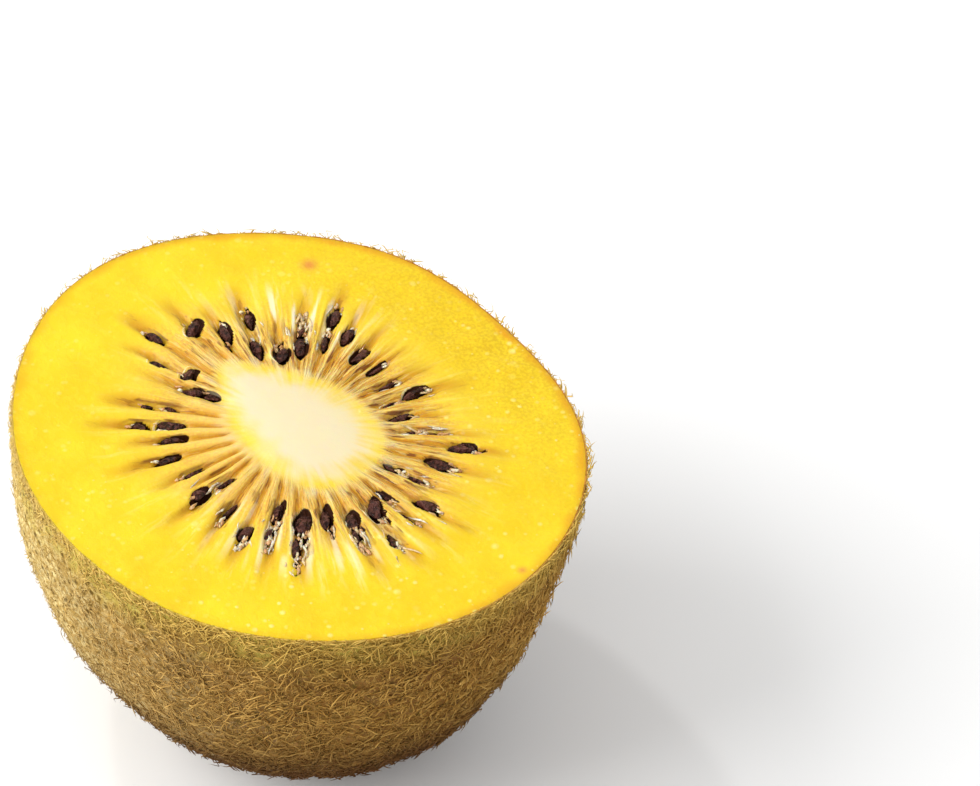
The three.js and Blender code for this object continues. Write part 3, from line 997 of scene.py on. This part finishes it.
def flesh_material():
    paint = Paint("golden flesh", {
        "Subsurface Weight": 0.5, "Subsurface Radius": (1.0, 0.55, 0.1), "Subsurface Scale": 0.001,
        "IOR": 1.36, "Coat Roughness": 0.10, "Coat IOR": 1.33,
    })
    lay, times, plus, ramp = paint.lay, paint.times, paint.plus, paint.ramp
    cloud = paint.mottled(130, 0.35, 0.7)
    fine = paint.mottled(1300, 0.38, 0.68)
    grain = paint.mottled(3500, 0.32, 0.68)
    clusters = paint.mottled(260, 0.4, 0.62)
    strands = paint.streaked(42, 380, 0.42, 0.62)
    threads = paint.streaked(58, 520, 0.52, 0.64)
    cracks = paint.streaked(34, 460, 0.56, 0.66)
    clots = paint.streaked(58, 1300, 0.44, 0.56)
    spots = paint.maths("MAXIMUM", paint.flecked(760, 0.3, 0.2), paint.flecked(1250, 0.34, 0.55))
    flecks_and_glints = times(times(spots, ramp(clusters, 0, 1, 0.2, 1)), "speckled_and_glinting")
    rust = plus(times(grain, 0.75), times(cloud, 0.25))
    furrows = times(ramp(cracks, 0, 1, 0.15, 1), "shaded_groove")
    amber = paint.mix(clots, (0.42, 0.19, 0.03), (0.86, 0.58, 0.2))
    wall_shade_lines = times(ramp("wall_shade", 0.2, 0.8), ramp(strands, 0, 1, 0.4, 1))

    paint.colour = paint.mix(cloud, (0.81, 0.57, 0.012), (0.85, 0.635, 0.018))
    lay(fine, 0.2, (0.86, 0.68, 0.04))
    lay(times("ochre", rust), 0.9, (0.66, 0.4, 0.01))
    lay("edge", 0.7, (0.74, 0.28, 0.01))
    lay(times("tint", rust), 0.95, (0.67, 0.275, 0.024))
    # Pale rays: the flesh's own, and painted sheen at the front and back.
    lay(times("ray_and_sheen", strands), 0.8, (0.86, 0.76, 0.26))
    # Pale flecks: the flesh's own, and painted glints at the front and right.
    lay(flecks_and_glints, 0.75, (0.88, 0.79, 0.26))
    lay("septum", 0.75, (0.86, 0.64, 0.2))
    lay("shade", 0.5, (0.58, 0.31, 0.008))
    # The locules' own amber furrows, deepened as painted shade.
    lay("shaded_groove", 0.85, (0.62, 0.27, 0.015))
    lay(times(strands, "frayed"), 0.75, (0.62, 0.24, 0.014))
    lay(times(threads, "threads"), 0.55, (0.9, 0.7, 0.26))
    lay(times("ridge", cloud), 0.6, (0.86, 0.5, 0.1))
    lay("blemish", 0.9, (0.68, 0.24, 0.05))
    lay(times(cracks, "frayed"), 0.9, (0.2, 0.055, 0.012))
    lay(furrows, 0.65, (0.26, 0.085, 0.012))
    lay(ramp("locule", 0.25, 0.75), 0.8, amber)
    # Painted shade along the sides of the open locules.
    lay(wall_shade_lines, 0.8, (0.2, 0.065, 0.01))
    # Painted shade: the spaces beside and behind the seeds are painted near black.
    lay(ramp("shaded_gap", 0.35, 0.7), 1.0, (0.03, 0.008, 0.003))
    # Painted highlight on the raised rims beside the seeds.
    lay(ramp("lip_highlight", 0.3, 0.7), 0.85, (0.92, 0.8, 0.48))
    # Painted highlight streaks.
    lay("highlight_streaks", 0.9, (0.96, 0.91, 0.66))
    lay("core", 1.0, (0.78, 0.675, 0.43))

    paint.feed("Roughness", ramp(fine, 0, 1, 0.3, 0.48))
    paint.feed("Coat Weight", ramp("shaded_gap", 0, 1, 0.14, 0.02))
    paint.feed("Specular IOR Level", ramp("shaded_gap", 0, 1, 0.26, 0.06))
    pimples = plus(times(fine, 0.35), times(flecks_and_glints, 0.5))
    pimples = times(pimples, ramp("core", 1.0, 0.0, 0.15, 1.0))
    torn = times(plus(strands, times(threads, 0.7)), times("frayed", 1.6))
    wet = times(clots, "locule")
    return paint.finish(plus(plus(pimples, torn), times(wet, 1.5)), 0.00007)


def jelly_material():
    paint = Paint("seed jelly", {
        "Subsurface Weight": 0.3, "Subsurface Radius": (1.0, 0.6, 0.15), "Subsurface Scale": 0.0004,
        "Roughness": 0.15, "IOR": 1.36, "Coat Weight": 0.5, "Coat Roughness": 0.04, "Coat IOR": 1.4,
    })
    blend = paint.mottled(2200, 0.4, 0.6)
    paint.colour = paint.mix(paint.ramp("tone", 0.1, 0.35), (0.14, 0.045, 0.012), (0.66, 0.34, 0.15))
    paint.lay(paint.ramp("tone", 0.45, 0.7), 1.0, (0.88, 0.64, 0.34))
    paint.lay(paint.ramp("tone", 0.68, 0.88), 1.0, (0.94, 0.86, 0.64))
    paint.lay(blend, 0.4, (0.56, 0.28, 0.07))
    return paint.finish(blend, 0.0001)


def seed_material():
    paint = Paint("seed coat", {"IOR": 1.45, "Specular Tint": (1.0, 0.74, 0.66, 1.0)})
    pits = paint.mottled(2600, 0.35, 0.65, detail=4.0)
    patch = paint.mottled(1100, 0.46, 0.62)
    # Painted light: the lighter reddish patches and pits lie only on the seed's upper side, the rest is near
    # black.
    paint.colour = paint.mix(paint.times("top", patch), (0.009, 0.003, 0.0025), (0.085, 0.028, 0.022))
    paint.lay(paint.times("top", pits), 0.45, (0.24, 0.088, 0.066))
    paint.feed("Roughness", paint.ramp(pits, 0, 1, 0.09, 0.28))
    paint.feed("Specular IOR Level", paint.ramp("top", 0, 1, 0.05, 0.28))
    return paint.finish(paint.plus(pits, paint.times(patch, 1.5)), 0.00022)


def peel_material():
    paint = Paint("peel", {"IOR": 1.4, "Specular IOR Level": 0.1})
    height = paint.height()
    cloud = paint.mottled(160, 0.3, 0.7)
    curls = {"Vector": paint.place, "Scale": 900.0, "Detail": 3.0, "Distortion": 2.5}
    fibres = paint.ramp(paint.add("ShaderNodeTexNoise", curls).outputs["Fac"], 0.48, 0.6)
    lit_side_colour = paint.mix(paint.mottled(1500, 0.44, 0.58), (0.52, 0.36, 0.1), (0.88, 0.72, 0.32))
    upper = paint.ramp(height, *RIM_ZONE)
    rind = paint.mix("sheltered", (0.55, 0.2, 0.03), (0.66, 0.47, 0.08))
    paint.colour = paint.mix(cloud, (0.15, 0.062, 0.012), (0.27, 0.125, 0.024))
    # Painted light: the side facing the window light is painted paler.
    paint.lay("pale", 0.9, lit_side_colour)
    paint.lay(fibres, 0.4, (0.52, 0.31, 0.07))
    paint.lay(upper, 0.55, (0.42, 0.26, 0.045))
    paint.lay(paint.times(upper, paint.mottled(300, 0.42, 0.58)), 0.7, (0.52, 0.44, 0.08))
    paint.lay(paint.flecked(1250, 0.44, 0.9), 0.95, (0.145, 0.085, 0.012))
    # Painted shade: darker towards the floor.
    paint.lay(paint.ramp(height, *PEEL_SHADE_ZONE), 0.7, (0.06, 0.025, 0.008))
    paint.lay("rim", 0.8, rind)
    paint.lay("scar", 1.0, (0.035, 0.018, 0.01))
    paint.feed("Roughness", paint.ramp(cloud, 0, 1, 0.62, 0.78))
    return paint.finish(fibres, 0.0001)


def hair_material():
    paint = Paint("hair", {"Roughness": 0.65, "IOR": 1.45, "Specular IOR Level": 0.1})
    height = paint.height()
    root = paint.mix("tone", (0.24, 0.105, 0.018), (0.6, 0.33, 0.062))
    tip = paint.mix("tone", (0.44, 0.225, 0.044), (0.8, 0.51, 0.14))
    lit_side_colour = paint.mix("tone", (0.5, 0.36, 0.11), (0.9, 0.74, 0.36))
    paint.colour = paint.mix("tip", root, tip)
    # Painted light: hairs on the side facing the window light are painted paler.
    paint.lay("pale", 0.75, lit_side_colour)
    paint.lay(paint.ramp(height, *RIM_ZONE), 0.5, (0.86, 0.62, 0.14))
    # Painted shade: darker towards the floor.
    paint.lay(paint.ramp(height, *HAIR_SHADE_ZONE), 0.88, (0.09, 0.031, 0.012))
    paint.feed("Base Color", paint.colour)
    return paint.material


def floor_material():
    paint = Paint("pale floor", {"Roughness": 0.6})
    noise = paint.add("ShaderNodeTexNoise", {"Vector": paint.place, "Scale": 3.0}).outputs["Fac"]
    paint.feed("Base Color", paint.mix(noise, (0.93, 0.93, 0.925), (0.96, 0.96, 0.955)))
    return paint.material


# ---- floor, light and camera ----

def make_floor(material):
    deselect_all()
    bpy.ops.mesh.primitive_plane_add(size=FLOOR_SIZE)
    floor = bpy.context.object
    floor.name = "floor"
    floor.data.materials.append(material)


def view_axes():
    """Level directions to the right of the view and from the fruit towards the camera."""
    azimuth = math.radians(CAMERA_AZIMUTH)
    right = Vector((math.cos(azimuth), math.sin(azimuth), 0))
    return right, Vector((math.sin(azimuth), -math.cos(azimuth), 0))


def make_camera():
    """A camera that faces the middle of the cut from its place, then turns so that the fruit lies left."""
    right, near = view_axes()
    elevation = math.radians(CAMERA_ELEVATION)
    back = near * math.cos(elevation) + Vector((0, 0, math.sin(elevation)))
    up = back.cross(right)
    cut_centre = Vector((*CUT_MIDDLE, CUT_HEIGHT))
    place = cut_centre + back * CAMERA_DISTANCE
    backwards = (place - cut_centre - right * AIM_RIGHT - up * AIM_UP).normalized()
    across = up.cross(backwards).normalized()
    turned = Matrix((across, backwards.cross(across), backwards)).transposed()
    camera = bpy.data.objects.new("camera", bpy.data.cameras.new("camera"))
    camera.data.sensor_width = SENSOR_WIDTH
    camera.data.lens = CAMERA_LENS
    camera.data.clip_start = NEAREST_SEEN * MM
    camera.location = place * MM
    camera.rotation_euler = turned.to_euler()
    bpy.context.collection.objects.link(camera)
    bpy.context.scene.camera = camera


def add_light(name, towards_right, towards_camera, height, size, power):
    """A square soft light, placed in metres about the fruit as the camera sees it."""
    right, near = view_axes()
    light = bpy.data.objects.new(name, bpy.data.lights.new(name, "AREA"))
    light.data.size = size
    light.data.energy = power
    light.location = right * towards_right + near * towards_camera + Vector((0, 0, height))
    light.rotation_euler = (light.location - Vector(LIGHT_AIM)).to_track_quat("Z", "Y").to_euler()
    bpy.context.collection.objects.link(light)


def make_light():
    world = bpy.data.worlds.new("soft daylight")
    world.use_nodes = True
    sky = world.node_tree.nodes["Background"].inputs
    sky["Color"].default_value = (1, 1, 1, 1)
    sky["Strength"].default_value = SKY_STRENGTH
    bpy.context.scene.world = world
    for light in LIGHTS:
        add_light(*light)


# ---- the half fruit ----

MOTTLE, FLECKS = mottle_group(), flecks_group()
make_flesh(flesh_material())
make_seeds(seed_material())
make_jelly(jelly_material())
make_peel(peel_material())
make_hairs(hair_material())
make_floor(floor_material())
make_camera()
make_light()
bpy.context.scene.view_settings.view_transform = "Standard"
